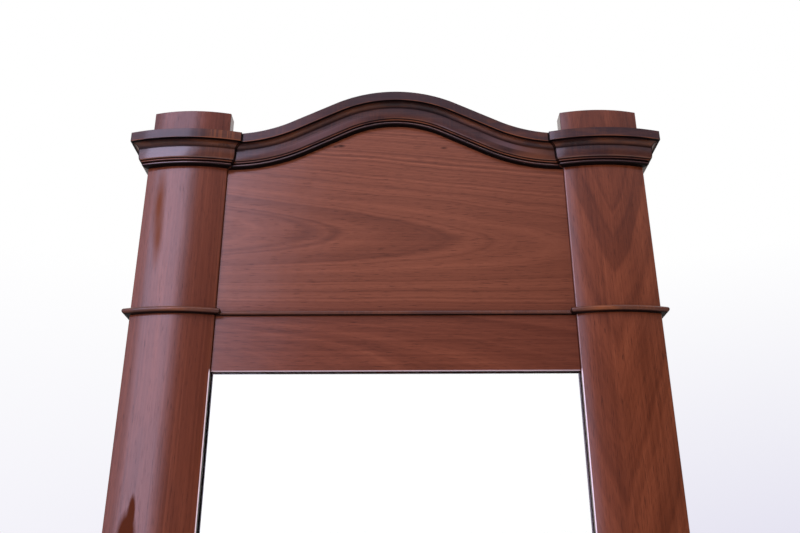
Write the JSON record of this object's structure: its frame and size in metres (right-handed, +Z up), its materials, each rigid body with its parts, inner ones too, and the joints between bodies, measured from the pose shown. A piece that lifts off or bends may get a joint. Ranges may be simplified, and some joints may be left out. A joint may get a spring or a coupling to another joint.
{
  "type": "pier mirror",
  "caption": "Tall polished wood pier mirror: bowed columns with mitred capitals, a serpentine arch over a veneered frieze, and one tall plate of glass above plinths.",
  "frame": {"origin": "centre of the whole object's box in plan, on the floor under it", "axes": "+X to the viewer's right, +Y from the front to the wall, +Z up"},
  "size_m": [0.765, 0.0896, 2.08],
  "materials": {
    "show_wood": "French-polished reddish walnut or mahogany veneer, high gloss",
    "moulding_wood": "French-polished dark mouldings, high gloss",
    "pine": "raw pine darkened by age",
    "mirror": "silvered glass",
    "iron": "dark iron, dull"
  },
  "bodies": {
    "root": {"left_column": "show_wood", "right_column": "show_wood", "left_cap_block": "show_wood", "right_cap_block": "show_wood", "left_cap_front": "moulding_wood", "right_cap_front": "moulding_wood", "left_cap_outer_return": "moulding_wood", "right_cap_outer_return": "moulding_wood", "left_cap_inner_return": "moulding_wood", "right_cap_inner_return": "moulding_wood", "arch_crown": "moulding_wood", "left_arch_foot": "moulding_wood", "right_arch_foot": "moulding_wood", "frieze_panel": "show_wood", "frieze_bead": "moulding_wood", "left_astragal_front": "moulding_wood", "right_astragal_front": "moulding_wood", "left_astragal_outer_return": "moulding_wood", "right_astragal_outer_return": "moulding_wood", "left_astragal_inner_return": "moulding_wood", "right_astragal_inner_return": "moulding_wood", "upper_rail": "show_wood", "lower_rail": "show_wood", "mirror_glass": "mirror", "glass_blocks": "pine", "left_plinth": "show_wood", "right_plinth": "show_wood", "apron": "show_wood", "base_moulding": "moulding_wood", "left_base_front": "moulding_wood", "right_base_front": "moulding_wood", "left_base_outer_return": "moulding_wood", "right_base_outer_return": "moulding_wood", "left_base_inner_return": "moulding_wood", "right_base_inner_return": "moulding_wood", "left_stile": "pine", "right_stile": "pine", "upper_crossrail": "pine", "lower_crossrail": "pine", "frame_pegs": "pine", "plinth_dowels": "pine", "apron_glue_blocks": "pine", "left_back_plank": "pine", "middle_back_plank": "pine", "right_back_plank": "pine", "plank_screws": "iron", "left_hanging_plate": "iron", "right_hanging_plate": "iron", "plate_screws": "iron"}
  },
  "joints": []
}
